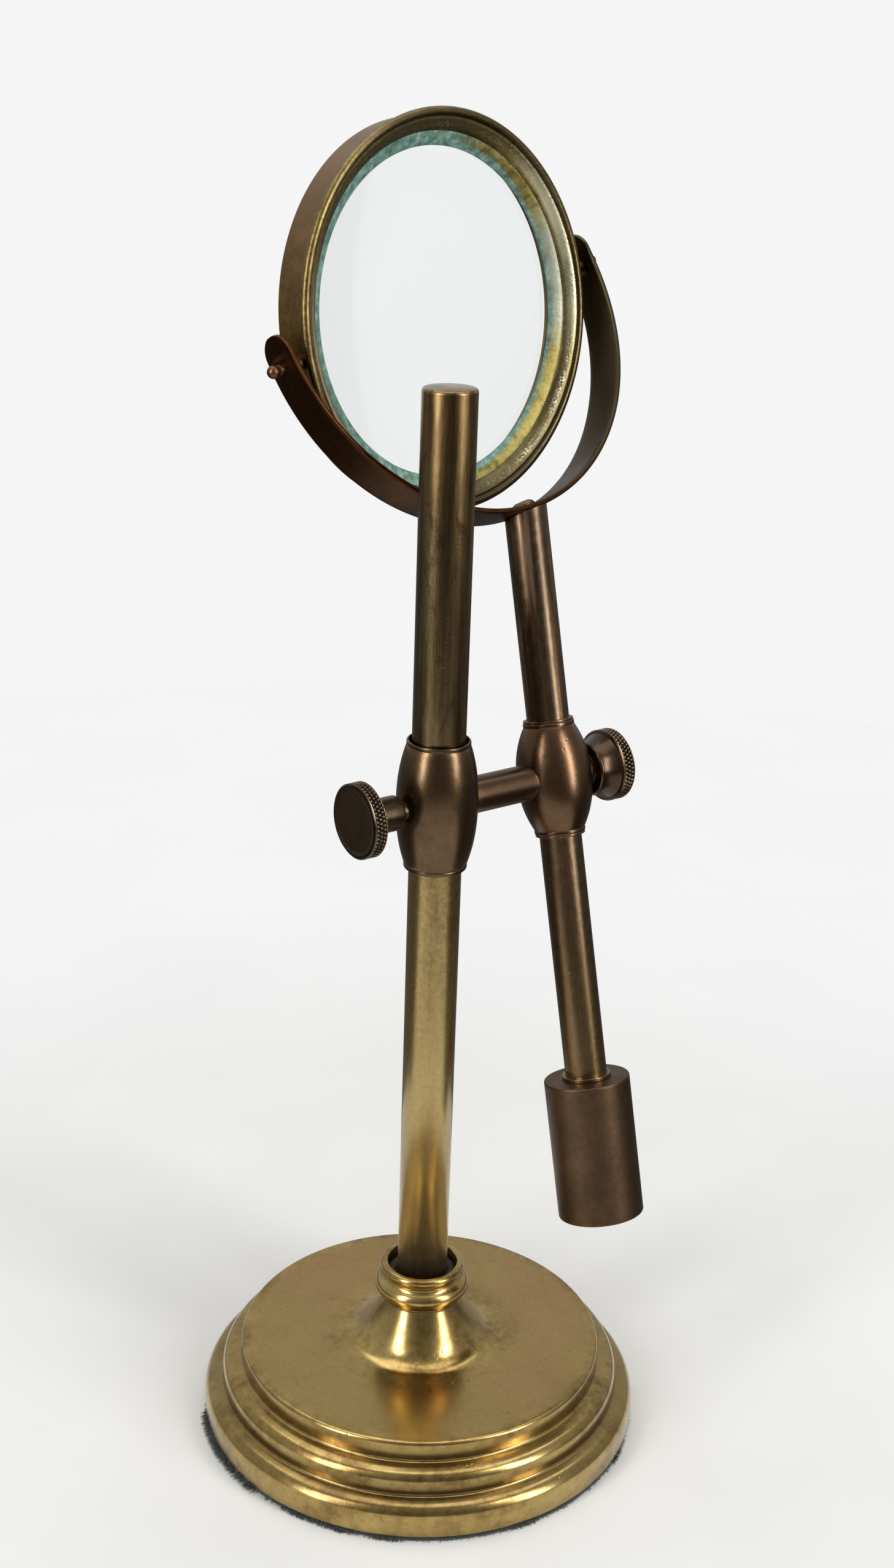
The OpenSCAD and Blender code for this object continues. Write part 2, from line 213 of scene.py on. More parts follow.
def joined(name, parts, material, place=WORLD):
    """One object from several (verts, faces) in the same frame."""
    verts, faces = [], []
    for v, f in parts:
        base = len(verts)
        verts.extend(v)
        faces.extend([tuple(i + base for i in face) for face in f])
    obj = make_object(name, verts, faces, place, material)
    fix_normals(obj)
    return obj


def moved(part, matrix):
    v, f = part
    m = np.array(matrix)
    return [tuple(p) for p in np.asarray(v) @ m[:3, :3].T + m[:3, 3]], f


def piece(obj, body, slot, *nodes):
    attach(obj, body)
    if nodes:
        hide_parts(*nodes)
    return obj


# ---------------------------------------------------------------- materials
def srgb(r, g, b):
    def lin(c):
        c /= 255
        return c / 12.92 if c < 0.04045 else ((c + 0.055) / 1.055) ** 2.4
    return (lin(r), lin(g), lin(b), 1.0)


class Graph:
    """A material's node tree, with short calls for adding and linking nodes."""

    def __init__(self, name, at=None):
        """Textures follow the world, or the frame at (such as LENS) if one is given."""
        self.mat = bpy.data.materials.new(name)
        self.mat.use_nodes = True
        self.tree = self.mat.node_tree
        self.shader = self.tree.nodes["Principled BSDF"]
        self.place = self.add("ShaderNodeTexCoord").outputs["Object"]
        if at:
            back = at.inverted()
            moved_to = self.add("ShaderNodeMapping", Vector=self.place,
                                Location=back.to_translation() * MM, Rotation=back.to_euler())
            self.place = moved_to.outputs[0]

    def add(self, kind, props=None, **inputs):
        node = self.tree.nodes.new(kind)
        for key, value in (props or {}).items():
            setattr(node, key, value)
        for key, value in inputs.items():
            self.put(node, key.replace("_", " "), value)
        return node

    def put(self, node, key, value):
        by_number = key[0] == "i" and key[1:].isdigit()
        socket = node.inputs[int(key[1:]) if by_number else key]
        if isinstance(value, bpy.types.NodeSocket):
            self.tree.links.new(value, socket)
        else:
            socket.default_value = value

    def noise(self, scale, detail=4.0, roughness=0.6, distortion=0.0, stretch=None):
        vector = self.place
        if stretch:
            vector = self.add("ShaderNodeMapping", Vector=self.place, Scale=stretch).outputs[0]
        node = self.add("ShaderNodeTexNoise", Vector=vector, Scale=scale, Detail=detail,
                        Roughness=roughness, Distortion=distortion)
        return node.outputs[0]

    def cells(self, scale):
        return self.add("ShaderNodeTexVoronoi", Vector=self.place, Scale=scale).outputs["Distance"]

    def math(self, op, a, b=0.0, c=0.0):
        return self.add("ShaderNodeMath", {"operation": op}, i0=a, i1=b, i2=c).outputs[0]

    def fit(self, value, low, high, to_low=0.0, to_high=1.0):
        node = self.add("ShaderNodeMapRange", i0=value, i1=low, i2=high, i3=to_low, i4=to_high)
        return node.outputs[0]

    def ramp(self, value, stops, mode="LINEAR"):
        node = self.add("ShaderNodeValToRGB", Fac=value)
        ramp = node.color_ramp
        ramp.interpolation = mode
        while len(ramp.elements) < len(stops):
            ramp.elements.new(0.5)
        for element, (at, colour) in zip(ramp.elements, stops):
            element.position = at
            element.color = colour if len(colour) == 4 else (*colour, 1.0)
        return node.outputs[0]

    def mix(self, fac, a, b, mode="MIX"):
        node = self.add("ShaderNodeMixRGB", {"blend_type": mode}, Fac=fac, Color1=a, Color2=b)
        return node.outputs[0]

    def product(self, value, *others):
        for other in others:
            value = self.math("MULTIPLY", value, other)
        return value

    def between(self, value, low, low_full, high_full, high):
        """1 from low_full to high_full, falling to 0 at low and at high."""
        return self.product(self.fit(value, low, low_full), self.fit(value, high, high_full))

    def axis(self, name):
        """One coordinate, in mm."""
        part = self.add("ShaderNodeSeparateXYZ", Vector=self.place).outputs[name]
        return self.math("DIVIDE", part, MM)

    def radius(self):
        """Distance from the Z axis, in mm."""
        flat = self.add("ShaderNodeVectorMath", {"operation": "MULTIPLY"},
                        i0=self.place, i1=(1, 1, 0))
        length = self.add("ShaderNodeVectorMath", {"operation": "LENGTH"}, i0=flat.outputs[0])
        return self.math("DIVIDE", length.outputs["Value"], MM)

    def bump(self, height, strength, distance, under=None):
        node = self.add("ShaderNodeBump", Height=height, Strength=strength, Distance=distance)
        if under:
            self.put(node, "Normal", under)
        return node.outputs[0]

    def set(self, **inputs):
        for key, value in inputs.items():
            self.put(self.shader, key.replace("_", " "), value)
        return self.mat


def metal(name, bare, mid, dark, rough=(0.28, 0.46), blotch=70.0, balance=0.5, spread=0.13,
          speck=0.35, grain=(1.0, 1.0, 1.0), bump=0.2, coat=0.0, extra=None, at=None):
    """Old brass: bare metal, brown patina and dark specks, with grain along one direction."""
    g = Graph(name, at)
    big = g.noise(blotch, 5.0, 0.62, 0.4, stretch=grain)
    small = g.noise(blotch * 7, 4.0, 0.7)
    fine = g.noise(2600.0, 3.0, 0.7, stretch=grain)
    level = g.math("MULTIPLY_ADD", small, 0.35, g.product(big, 0.65))
    colour = g.ramp(level, [(balance - spread, dark), (balance, mid), (balance + spread, bare)])
    if extra:
        colour = extra(g, colour, level)
    pits = g.fit(g.cells(420.0), 0.05, 0.22, 1.0, 0.0)
    spots = g.product(pits, g.fit(g.noise(150.0, 3.0, 0.6), 0.56, 0.68))
    pit_colour = tuple(c * 0.25 for c in dark[:3]) + (1,)
    colour = g.mix(g.product(spots, speck), colour, pit_colour)
    colour = g.mix(g.fit(fine, 0.3, 0.75, 0.0, 0.16), colour, dark)
    wear = g.math("ADD", g.product(big, 0.6), g.product(fine, 0.4))
    relief = g.math("ADD", g.product(fine, 0.5), g.product(small, 0.8))
    normal = g.bump(g.math("SUBTRACT", 1.0, spots), 0.35, 0.0002, g.bump(relief, bump, 0.00025))
    return g.set(Base_Color=colour, Metallic=1.0, Normal=normal, Coat_Weight=coat,
                 Roughness=g.fit(wear, 0.35, 0.65, rough[1], rough[0]), Coat_Roughness=0.22)


# Painted shade on the side of the base, as (height in mm, amount): thickest in the two coves, and
# some at the foot. The ramp is fed metres, so only a few steps of its table fall on the base and
# the bands come out soft.
STEP_SHADE = ((0.0, 0.7), (3.5, 0.15), (9.8, 0.0), (11.0, 0.9), (13.6, 0.15), (16.6, 0.0),
         (18.0, 0.9), (20.6, 0.1))


def base_extra(g, colour, level):
    """A pinker, browner flat, a painted shadow under the collar and painted shade in the coves of
    the steps and at the foot.
    """
    r, z = g.radius(), g.axis("Z")
    wobble = g.product(g.math("SUBTRACT", level, 0.5), 6.0)
    flat = g.between(g.math("ADD", r, wobble),
                     FLARE_R - 1.1, FLARE_R + 7.4, STEP_R - 4.3, STEP_R - 1.3)
    flat = g.product(flat, g.fit(z, BASE_TOP - 0.85, BASE_TOP - 0.25))
    pink = g.fit(g.noise(30.0, 4.0, 0.6, 0.8), 0.38, 0.68)
    tone = g.mix(pink, srgb(180, 155, 92), srgb(182, 145, 92))
    colour = g.mix(g.product(flat, 0.8), colour, tone)
    dust = g.fit(g.noise(1500.0, 3.0, 0.7), 0.58, 0.70, 0.0, 0.5)
    colour = g.mix(g.product(flat, dust), colour, srgb(84, 62, 36))
    # Painted shadow: a dark band round the bottom of the collar and the top of the trumpet.
    collar_shadow = g.between(z, COLLAR_Z - 0.5, COLLAR_Z, COLLAR_Z + 0.9, COLLAR_Z + 1.6)
    colour = g.mix(g.product(collar_shadow, 0.85), colour, srgb(56, 40, 22))
    # Painted shade in the coves of the steps and at the foot, from the table above.
    height = g.math("ADD", z, g.product(wobble, 0.12))
    step_shade = g.ramp(g.product(height, MM), [(h * MM, (amount,) * 3) for h, amount in STEP_SHADE])
    outside = g.fit(r, STEP_R - 2.8, STEP_R - 1.3)
    return g.mix(g.product(step_shade, outside, 0.8), colour, srgb(86, 66, 34))


def post_extra(g, colour, level):
    """Far browner above the clamp, with streaks and stains; bright near the foot, where a painted
    highlight lifts it towards white.
    """
    z = g.axis("Z")
    edge = g.math("ADD", z, g.product(g.math("SUBTRACT", level, 0.5), 80.0))
    streak = g.noise(210.0, 5.0, 0.65, 0.3, stretch=(1.0, 1.0, 0.06))
    brown = g.ramp(streak, [(0.32, srgb(58, 44, 30)), (0.50, srgb(104, 84, 54)),
                            (0.64, srgb(154, 134, 96))])
    colour = g.mix(g.product(g.fit(edge, 176.0, 198.0), 0.93), colour, brown)
    worn = g.product(g.fit(streak, 0.56, 0.70), g.fit(z, 150.0, 120.0))
    colour = g.mix(g.product(worn, 0.4), colour, srgb(222, 200, 140))
    stain = g.noise(90.0, 5.0, 0.7, 1.2, stretch=(1.0, 1.0, 0.45))
    dark = g.product(g.fit(stain, 0.52, 0.64), g.fit(z, 190.0, 220.0))
    colour = g.mix(g.product(dark, 0.75), colour, srgb(50, 38, 28))
    top = g.product(g.fit(z, 255.0, 285.0), g.fit(streak, 0.42, 0.58))
    colour = g.mix(g.product(top, 0.35), colour, srgb(150, 108, 60))
    low = g.fit(z, 172.0, 110.0, 0.0, 0.75)
    colour = g.mix(low, colour, g.mix(level, srgb(162, 138, 82), srgb(228, 202, 142)))
    # Painted highlight: from 90 mm down, the post is lifted towards near white where it would
    # mirror the darker base.
    colour = g.mix(g.fit(z, 90.0, 60.0, 0.0, 0.7), colour, srgb(255, 240, 190))
    foot = g.fit(g.math("ADD", z, g.product(level, 6.0)), 55.0, 49.0)
    return g.mix(g.product(foot, 0.6), colour, srgb(160, 110, 58))


def bezel_extra(g, colour, level):
    """A paler sloping face with painted highlights at the right and left, a rubbed, sparkling strip
    with painted glints, darker towards the bottom, and painted shade on the lip and in the groove.
    """
    r, x, y = g.radius(), g.axis("X"), g.axis("Y")
    face = g.between(r, 47.2, 47.8, 49.6, 50.2)
    strip = g.between(r, 47.6, 48.1, 48.9, 49.4)
    patch = g.fit(g.noise(45.0, 3.0, 0.6), 0.46, 0.60, 0.15, 1.0)
    rubbed = g.product(strip, patch, g.fit(g.noise(1500.0, 4.0, 0.7), 0.48, 0.60))
    colour = g.mix(g.product(face, 0.7), colour, srgb(150, 134, 84))
    # Painted highlight on the face at the right.
    pale = g.product(g.fit(x, 32.0, 45.0), g.fit(y, 24.0, 8.0), face)
    colour = g.mix(g.product(pale, 0.85), colour, srgb(226, 222, 184))
    colour = g.mix(g.fit(y, 12.0, 32.0, 0.0, 0.75), colour, srgb(74, 68, 46))
    # Painted highlight on the face at the left.
    bright_left = g.product(g.fit(x, -30.0, -44.0), g.fit(y, -30.0, 0.0), face)
    colour = g.mix(bright_left, colour, srgb(250, 240, 200))
    # The rubbed strip is lightened towards white in specks: rubbed metal with painted glints.
    colour = g.mix(g.product(rubbed, 0.8), colour, srgb(248, 240, 208))
    # Painted shade on the lip, everywhere but the left.
    lip = g.product(g.fit(r, 50.5, 51.0), g.fit(x, -40.0, -20.0))
    colour = g.mix(g.product(lip, 0.7), colour, srgb(86, 74, 46))
    # Painted shade in the groove between the face and the lip.
    groove = g.between(r, 49.9, 50.2, 50.7, 51.0)
    return g.mix(g.product(groove, 0.85), colour, srgb(40, 32, 20))


def band_extra(g, colour, level):
    """Browner towards the top, with a yellow stain low on the side."""
    y = g.axis("Y")
    top = g.fit(g.math("ADD", y, g.product(level, 20.0)), -2.0, -32.0)
    colour = g.mix(g.product(top, 0.8), colour, srgb(142, 114, 84))
    low = g.fit(g.math("ADD", y, g.product(level, 30.0)), -4.0, 18.0)
    return g.mix(g.product(low, 0.55), colour, srgb(172, 136, 62))


def tube_extra(g, colour, level):
    """Painted highlights as coppery and pale stripes along the tubes, with darker stripes between;
    the lower one turns to brass near the weight.
    """
    stripe = g.noise(330.0, 4.0, 0.6, 0.2, stretch=(1.0, 1.0, 0.04))
    # Painted highlights: coppery and pale stripes from the streak noise; its low values give darker
    # stripes.
    colour = g.mix(g.fit(stripe, 0.52, 0.62, 0.0, 0.6), colour, srgb(170, 120, 86))
    colour = g.mix(g.fit(stripe, 0.60, 0.66, 0.0, 0.6), colour, srgb(204, 184, 156))
    colour = g.mix(g.fit(stripe, 0.48, 0.36, 0.0, 0.6), colour, srgb(66, 56, 46))
    low = g.fit(g.math("ADD", g.axis("Z"), g.product(level, 30.0)), -10.0, -60.0)
    return g.mix(g.product(low, 0.6), colour, srgb(134, 108, 66))


def bronze_extra(g, colour, level):
    """Darker rod, painted shade on the neck and bell, a redder hub, and knurling with black grooves
    and rubbed tips.
    """
    z, r = g.axis("Z"), g.radius()
    hub = g.between(z, LINK_LEN - 11.1, LINK_LEN - 10.7, LINK_LEN + 10.4, LINK_LEN + 10.6)
    rod = g.between(z, 11.0, 12.5, LINK_LEN - 11.4, LINK_LEN - 9.9)
    bell = g.between(z, LINK_LEN + 10.6, LINK_LEN + 11.6, LINK_LEN + 16.9, LINK_LEN + 17.3)
    neck = g.between(z, -22.6, -22.2, -12.8, -12.0)
    # The neck and the bell get painted shade where they sit between a head and a barrel.
    for where, amount, tint in ((hub, 0.4, srgb(102, 68, 48)), (rod, 0.6, srgb(72, 50, 36)),
                                (bell, 0.85, srgb(58, 40, 28)), (neck, 0.75, srgb(52, 40, 30))):
        colour = g.mix(g.product(where, amount), colour, tint)
    head = g.math("ADD", g.fit(z, -22.4, -22.7), g.fit(z, LINK_LEN + 17.1, LINK_LEN + 17.4))
    rim = g.product(head, g.fit(r, KNOB_R - 1.1, KNOB_R - 0.8))
    colour = g.mix(rim, colour, srgb(30, 23, 17))
    tips = g.product(rim, g.fit(r, KNOB_R - 0.25, KNOB_R))
    return g.mix(tips, colour, srgb(134, 114, 86))


def strap_extra(g, colour, level):
    """The right arm of the strap is greyer than the left."""
    return g.mix(g.fit(g.axis("X"), 5.0, 40.0, 0.0, 0.8), colour, srgb(80, 73, 56))


brass_base = metal("brass_base_aged", srgb(200, 174, 108), srgb(176, 148, 84), srgb(124, 98, 50),
                   rough=(0.17, 0.28), blotch=55.0, bump=0.05, coat=0.5, extra=base_extra)
brass_post = metal("brass_post_aged", srgb(196, 172, 112), srgb(166, 140, 86), srgb(112, 90, 52),
                   rough=(0.24, 0.36), blotch=90.0, grain=(1.0, 1.0, 0.10), coat=0.3,
                   extra=post_extra)
# The bezel's brass: worn metal, with painted highlights, glints and shade from bezel_extra.
brass_bright = metal("brass_worn_painted_highlights", srgb(168, 148, 96), srgb(134, 114, 68), srgb(84, 68, 38),
                     rough=(0.24, 0.42), blotch=110.0, bump=0.5, coat=0.2,
                     extra=bezel_extra, at=LENS)
brass_band = metal("brass_band_brown", srgb(156, 128, 76), srgb(124, 98, 56), srgb(76, 56, 34),
                   rough=(0.28, 0.42), blotch=60.0, coat=0.15, extra=band_extra, at=LENS)
bronze_dark = metal("bronze_dark_brown", srgb(122, 96, 66), srgb(102, 80, 54), srgb(68, 52, 38),
                    rough=(0.24, 0.34), blotch=60.0, spread=0.2, speck=0.2, bump=0.12, coat=0.3,
                    extra=bronze_extra, at=LINK)
bronze_tube = metal("bronze_tube_brown", srgb(134, 108, 78), srgb(106, 84, 60), srgb(66, 52, 40),
                    rough=(0.24, 0.36), blotch=60.0, grain=(1.0, 1.0, 0.12), coat=0.3,
                    extra=tube_extra, at=ARM)
bronze_weight = metal("bronze_weight_matt", srgb(106, 83, 62), srgb(90, 70, 52), srgb(64, 51, 39),
                      rough=(0.38, 0.48), blotch=80.0, spread=0.2, speck=0.2)
bronze_black = metal("bronze_strap_black", srgb(96, 61, 34), srgb(74, 46, 24), srgb(48, 30, 17),
                     rough=(0.26, 0.38), blotch=50.0, spread=0.2, extra=strap_extra, at=PINS)
copper_pin = metal("copper_pin_brown", srgb(140, 98, 72), srgb(112, 78, 58), srgb(76, 52, 40),
                   rough=(0.30, 0.45), blotch=300.0)


def verdigris_material():
    """Green crust near the glass and on the left; yellow-olive metal on the right, with a painted
    pale reflection on it.
    """
    g = Graph("verdigris_green", LENS)
    x, y = g.axis("X"), g.axis("Y")
    crust = g.noise(420.0, 5.0, 0.7)
    side = g.math("MULTIPLY_ADD", x, 0.013, g.product(y, 0.004))
    outward = g.fit(g.radius(), GLASS_R, GLASS_R + 1.8, -0.28, 0.12)
    patches = g.product(g.noise(55.0, 5.0, 0.6, 0.6), 0.6)
    bare = g.fit(g.math("ADD", g.math("MULTIPLY_ADD", side, 0.5, patches), outward), 0.40, 0.54)
    green = g.ramp(crust, [(0.3, srgb(64, 98, 86)), (0.5, srgb(104, 142, 128)),
                           (0.7, srgb(158, 186, 172))])
    olive = g.ramp(crust, [(0.35, srgb(104, 94, 50)), (0.6, srgb(166, 152, 88))])
    # Painted reflection: a pale grey patch on the right side.
    pale = g.product(g.fit(x, 34.0, 42.0), g.fit(g.math("ABSOLUTE", y), 22.0, 10.0))
    olive = g.mix(g.product(pale, 0.8), olive, srgb(168, 176, 162))
    return g.set(Base_Color=g.mix(bare, green, olive),
                 Metallic=g.fit(bare, 0.0, 1.0, 0.15, 0.9),
                 Roughness=g.fit(crust, 0.3, 0.7, 0.38, 0.60), Normal=g.bump(crust, 0.5, 0.0003))


def glass_material():
    g = Graph("lens_glass_clear")
    faint = g.ramp(g.noise(40.0, 2.0, 0.5),
                   [(0.3, srgb(250, 253, 253)), (0.7, srgb(252, 254, 254))])
    smear = g.fit(g.noise(60.0, 3.0, 0.5, 0.5), 0.45, 0.75, 0.0, 0.02)
    return g.set(Base_Color=faint, Roughness=smear, IOR=1.5, Transmission_Weight=1.0)


def felt_material():
    g = Graph("felt_dark_green")
    n = g.noise(1800.0, 5.0, 0.75)
    colour = g.ramp(n, [(0.3, srgb(8, 20, 14)), (0.5, srgb(16, 36, 26)), (0.72, srgb(36, 62, 48))])
    return g.set(Base_Color=colour, Roughness=0.95, Sheen_Weight=0.4,
                 Normal=g.bump(n, 0.9, 0.0006))


def iron_material(name, light, dark, rough):
    g = Graph(name)
    n = g.noise(320.0, 6.0, 0.7)
    colour = g.ramp(n, [(0.3, dark), (0.7, light)])
    return g.set(Base_Color=colour, Metallic=0.85, Roughness=g.fit(n, 0.3, 0.7, rough, rough + 0.2),
                 Normal=g.bump(n, 0.5, 0.0004))


def packing_material():
    g = Graph("packing_blackened")
    n = g.noise(500.0, 5.0, 0.7)
    colour = g.ramp(n, [(0.35, srgb(30, 22, 16)), (0.55, srgb(62, 46, 34)),
                        (0.72, srgb(116, 110, 90))])
    return g.set(Base_Color=colour, Roughness=g.fit(n, 0.3, 0.7, 0.5, 0.8),
                 Normal=g.bump(n, 0.8, 0.0005))


verdigris = verdigris_material()
glass = glass_material()
felt = felt_material()
iron = iron_material("iron_rough", srgb(96, 92, 88), srgb(44, 41, 38), 0.55)
steel = iron_material("steel_dull", srgb(168, 166, 160), srgb(112, 108, 100), 0.35)
packing = packing_material()
SLOT_MATERIALS = {
    "brass_base": brass_base, "brass_post": brass_post, "brass_bright": brass_bright,
    "brass_band": brass_band, "bronze_dark": bronze_dark, "bronze_tube": bronze_tube,
    "bronze_weight": bronze_weight, "bronze_black": bronze_black, "copper_pin": copper_pin,
    "verdigris": verdigris, "glass": glass, "felt": felt, "iron": iron, "steel": steel,
    "packing": packing,
}
for sub in frame["record"]["subparts"]:
    for slot in frame["nodes"][sub["node"]].material_slots:
        slot.material = SLOT_MATERIALS[sub["material_slot"]]

# ---------------------------------------------------------------- stand
FLARE_POWER, COVE = 2.15, 0.7


def flare_point(u):
    """A point of the trumpet, from the collar (u = 0) out to the flat of the base (u = 1)."""
    rise = (COLLAR_Z - BASE_TOP) * (1 - u) ** FLARE_POWER
    return NECK_R + (FLARE_R - NECK_R) * u, BASE_TOP + rise - 0.03


flare_curve = [flare_point(u) for u in np.linspace(0, 1, 34)]
# The side of the base from the top down: rim, cove, bead, cove, broad foot.
step_curve = (
    arc(STEP_R - 1.1, BASE_TOP - 1.1, 1.1, 1.1, 90, 0, 8)
    + [(STEP_R, 21.0), (STEP_R, 19.2)]
    + arc(STEP_R + COVE, 18.45, COVE, COVE, 180, 262, 7)
    + [(STEP_R + 1.6, 17.68), (STEP_R + 2.5, 17.55)]
    + arc(BEAD_R - 3.0, 14.4, 3.0, 3.05, 84, 0, 12)
    + [(BEAD_R + 0.02, 13.2), (BEAD_R, 12.2)]
    + arc(BEAD_R + COVE, 11.55, COVE, COVE, 180, 262, 7)
    + [(BEAD_R + 1.3, 10.78)]
    + arc(BASE_R - 3.6, 7.0, 3.6, 3.65, 84, 0, 14)
    + [(BASE_R, 5.0), (BASE_R, 3.0)]
    + arc(BASE_R - 0.8, 2.05, 0.8, 0.8, 0, -85, 6)
    + [(BASE_R - 2.5, FELT_T + 0.03)])
shell_profile = (
    [(4.3, POST_FOOT - 0.05), (NECK_R, POST_FOOT - 0.05)] + flare_curve
    + [(FLARE_R + 3, BASE_TOP - 0.02), (36, BASE_TOP - 0.02), (STEP_R - 4.5, BASE_TOP - 0.005)]
    + step_curve
    + [(BASE_R - 5, FELT_T + 0.02), (BASE_R - 5, 8.6), (BEAD_R - 5.2, 10.6),
       (BEAD_R - 5.2, 15.4), (STEP_R - 3, 17.6), (STEP_R - 3, BASE_TOP - 1.8),
       (4.3, BASE_TOP - 1.8)])
shell = lathe("base_spun_shell", shell_profile, brass_base, segs=224, closed=True)
sharpen(shell, 50)
piece(shell, "stand", "brass_base", "base_shell", "base_flare")

collar_profile = (
    [(NECK_R + 0.02, COLLAR_Z), (11.2, COLLAR_Z)]
    + arc(10.6, 40.6, 2.85, 3.0, -62, 64, 18)
    + [(11.35, 44.0), (11.3, 44.6)]
    + arc(11.0, 46.4, 1.0, 1.3, -50, 90, 10)
    + [(10.5, COLLAR_TOP - 0.5), (10.1, COLLAR_TOP - 0.5), (COLLAR_BORE, COLLAR_TOP - 1.0),
       (COLLAR_BORE, POST_FOOT + 0.1), (NECK_R + 0.02, POST_FOOT + 0.1)])
collar = lathe("base_turned_collar", fillet(collar_profile, 0.2, 3, 30), brass_base,
               segs=144, closed=True)
piece(collar, "stand", "brass_base", "base_collar")


def crumbly(theta, r, z):
    """An uneven top for the packing; each ring of the profile gets its own waves."""
    rng = np.random.default_rng(int(abs(r[0] * 31 + z[0] * 17)) + 5)
    wave = sum(rng.uniform(0.2, 1) * np.sin(k * theta + rng.uniform(0, 6.3))
               for k in (3, 5, 8, 13, 21))
    return r, np.where(z > POST_FOOT + 3, z + 0.14 * wave, z)


packing_profile = [(POST_R + 0.01, POST_FOOT + 0.1), (COLLAR_BORE - 0.02, POST_FOOT + 0.1),
                   (COLLAR_BORE - 0.02, POST_FOOT + 4.6), (9.2, POST_FOOT + 5.0),
                   (8.2, POST_FOOT + 5.1), (POST_R + 0.01, POST_FOOT + 4.9)]
packing_ring = lathe("post_packing_ring", packing_profile, packing,
                     segs=120, closed=True, warp=crumbly)
piece(packing_ring, "stand", "packing", "post_packing")

post_profile = ([(0, POST_FOOT + 0.1), (POST_R, POST_FOOT + 0.1), (POST_R, 120), (POST_R, 210)]
                + arc(POST_R - 1.0, POST_TOP - 1.5, 1.0, 0.95, 0, 78, 8)
                + [(POST_R * 0.55, POST_TOP - 0.22), (POST_R * 0.25, POST_TOP - 0.06),
                   (0, POST_TOP)])
post = lathe("post_rod", post_profile, brass_post, segs=128)
piece(post, "stand", "brass_post", "post")


def felt_edge(theta, r, z):
    """A slightly wavy outline."""
    rng = np.random.default_rng(11)
    wave = sum(rng.uniform(0.3, 1.0) / (1 + k * 0.03) * np.sin(k * theta + rng.uniform(0, 6.3))
               for k in (2, 3, 7, 12, 23, 41, 77))
    return np.where(r > 60, r + 0.10 * wave, r), z


FELT_R = BASE_R - 0.35
TUFT_CLUMPS = (157, 161, 165, 168, 172, 177, 184, 203, 214, 226, 262, 300, 20, 95)   # degrees
TORN_FROM, TORN_TO = 2.6, 3.3           # radians: the side where the longest fibres stand out
TUFT_FACES = ((0, 1, 4, 3), (1, 2, 5, 4), (2, 0, 3, 5), (3, 4, 6), (4, 5, 6), (5, 3, 6), (0, 2, 1))
felt_profile = [(0, 0.02), (30, 0.02), (FELT_R - 0.3, 0.02), (FELT_R, 0.3),
                (FELT_R, FELT_T - 0.2), (FELT_R - 0.3, FELT_T - 0.02), (30, FELT_T - 0.02),
                (0, FELT_T - 0.02)]
felt_v, felt_f = lathe_arrays(felt_profile, 240, False, felt_edge)


def felt_tufts(count=2600):
    """Short bent fibres round the felt's edge, thicker in a few clumps."""
    rng = random.Random(4)
    verts, faces = [], []
    clumps = [math.radians(a) for a in TUFT_CLUMPS]
    for _ in range(count):
        if rng.random() < 0.55:
            a = rng.choice(clumps) + rng.gauss(0, 0.04)
            reach = rng.uniform(0.4, 1.0) * (2.7 if TORN_FROM < a < TORN_TO else 1.5)
        else:
            a = rng.uniform(0, 2 * math.pi)
            reach = rng.uniform(0.3, 1.2)
        r0 = FELT_R - 0.7
        z0 = rng.uniform(0.1, FELT_T - 0.1)
        out = np.array([math.cos(a), math.sin(a), 0])
        side = np.array([-math.sin(a), math.cos(a), 0])
        lean = rng.uniform(-0.6, 0.6)
        w = rng.uniform(0.06, 0.13)
        base = out * r0 + np.array([0, 0, z0])
        mid = base + out * (0.55 + reach * 0.5) + side * lean * 0.3
        tip = base + out * (0.55 + reach) + side * lean
        tip[2] = max(0.03, z0 - rng.uniform(0.0, 0.5))
        up = np.array([0, 0, w])
        i = len(verts)
        for centre, scale in ((base, 1.0), (mid, 0.8)):
            verts.extend([centre + side * w * scale,
                          centre - side * w * scale * 0.6 + up * scale,
                          centre - side * w * scale * 0.6 - up * scale * 0.3])
        verts.append(tip)
        faces.extend([tuple(i + k for k in face) for face in TUFT_FACES])
    return [tuple(v) for v in verts], faces


felt_disc = joined("base_felt_disc", [(felt_v, felt_f), felt_tufts()], felt)
piece(felt_disc, "stand", "felt", "base_felt")

# ---------------------------------------------------------------- clamp, link and thumbscrews
MOUTH = POST_R + 0.9
LINER_R, LINER_HALF = 8.36, 11.1         # the hollow that holds the liner


def barrel_profile(half, r_max, r_rim):
    """A barrel with a small bead round each mouth, from the top down."""
    mouth = [(r_rim - 0.15, half), (r_rim + 0.03, half - 0.2), (r_rim + 0.05, half - 0.95),
             (r_rim - 0.08, half - 1.1)]
    return (mouth + barrel_side(half - 1.2, r_max, r_rim, 30)
            + [(r, -z) for r, z in mouth[::-1]])


clamp_profile = barrel_profile(CLAMP_HALF, CLAMP_R, CLAMP_RIM) + [
    (MOUTH, -CLAMP_HALF), (POST_R + 0.5, 2.5 - CLAMP_HALF),
    (POST_R + 0.5, -LINER_HALF), (LINER_R, -LINER_HALF),
    (LINER_R, LINER_HALF), (POST_R + 0.5, LINER_HALF),
    (POST_R + 0.5, CLAMP_HALF - 2.5), (MOUTH, CLAMP_HALF)]
clamp = lathe("clamp_turned_barrel", fillet(clamp_profile, 0.12, 3, 30), bronze_dark, CLAMP,
              144, closed=True)
piece(clamp, "clamp", "bronze_dark", "clamp_barrel")

